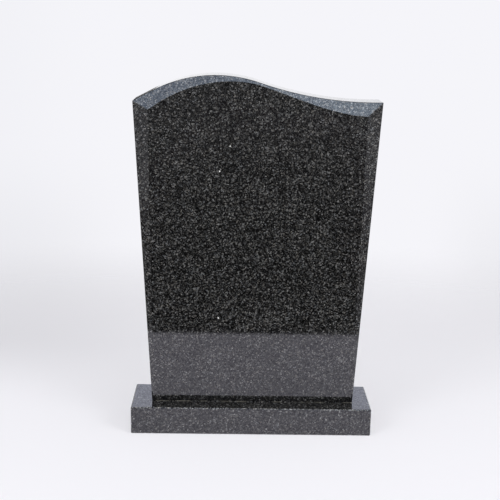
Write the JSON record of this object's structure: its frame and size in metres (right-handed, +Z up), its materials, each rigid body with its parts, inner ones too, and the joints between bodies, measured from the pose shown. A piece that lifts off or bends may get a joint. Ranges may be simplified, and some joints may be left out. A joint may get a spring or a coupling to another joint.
{
  "type": "headstone",
  "caption": "Tapered polished granite headstone with an ogee top and a fading front bevel, bare face, standing on a rectangular granite base.",
  "frame": {"origin": "middle of the base's underside, on the ground", "axes": "+Z up through the headstone, +X to the right as seen from the front, -Y out of the polished face towards the viewer"},
  "size_m": [0.652, 0.168, 0.9619],
  "materials": {
    "headstone_granite": "mirror polished dark granite with silver-grey flecks",
    "base_granite": "polished dark granite with silver-grey flecks"
  },
  "bodies": {
    "root": {"headstone": "headstone_granite", "base": "base_granite"}
  },
  "joints": []
}
